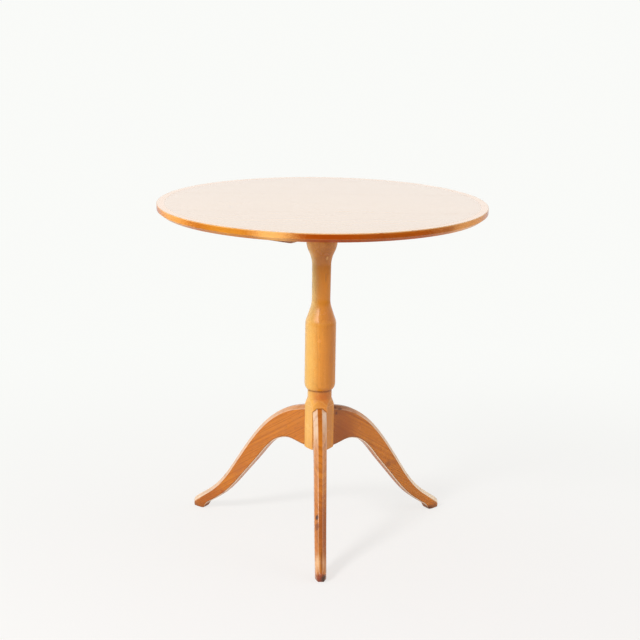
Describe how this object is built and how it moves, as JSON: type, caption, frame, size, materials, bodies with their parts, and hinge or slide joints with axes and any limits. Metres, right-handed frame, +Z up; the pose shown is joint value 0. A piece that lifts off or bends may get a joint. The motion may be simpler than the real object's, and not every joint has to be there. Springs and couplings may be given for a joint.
{
  "type": "pedestal table",
  "caption": "Round pedestal side table: thin veneered top with a bevelled rim on a turned column, whose hexagonal hub carries curved, chamfered legs with small pad feet.",
  "frame": {"origin": "on the floor, on the column's axis, midway under the round top", "axes": "+Z up along the column, -Y along the front leg, +X to the right as seen from the front"},
  "size_m": [0.62, 0.62, 0.645],
  "materials": {
    "column_wood": "clear gloss lacquer over honey-brown stained beech, fine flecks along the grain",
    "leg_wood": "clear gloss lacquer over honey-brown stained beech, grain along the leg, paler worn chamfers",
    "lipping_wood": "clear gloss lacquer over reddish-brown stained wood, grain around the rim",
    "face_veneer": "polished lacquer over honey-brown veneer, grain along X",
    "back_veneer": "thin satin lacquer over plain veneer, grain along X",
    "core_wood": "bare sanded core panel",
    "bearer_wood": "dark brown stain, satin",
    "dowel_wood": "bare wood",
    "wedge_wood": "bare wood",
    "screw_steel": "dull steel, slotted heads"
  },
  "bodies": {
    "root": {"column": "column_wood", "leg_front": "leg_wood", "leg_right": "leg_wood", "leg_left": "leg_wood", "leg_dowels_front": "dowel_wood", "leg_dowels_right": "dowel_wood", "leg_dowels_left": "dowel_wood", "bearer_lower": "bearer_wood", "bearer_upper": "bearer_wood", "tenon_wedge": "wedge_wood", "bearer_screws": "screw_steel", "top_core": "core_wood", "edge_lipping_1": "lipping_wood", "edge_lipping_2": "lipping_wood", "edge_lipping_3": "lipping_wood", "edge_lipping_4": "lipping_wood", "face_veneer_1": "face_veneer", "face_veneer_2": "face_veneer", "face_veneer_3": "face_veneer", "back_veneer_1": "back_veneer", "back_veneer_2": "back_veneer", "back_veneer_3": "back_veneer"}
  },
  "joints": []
}
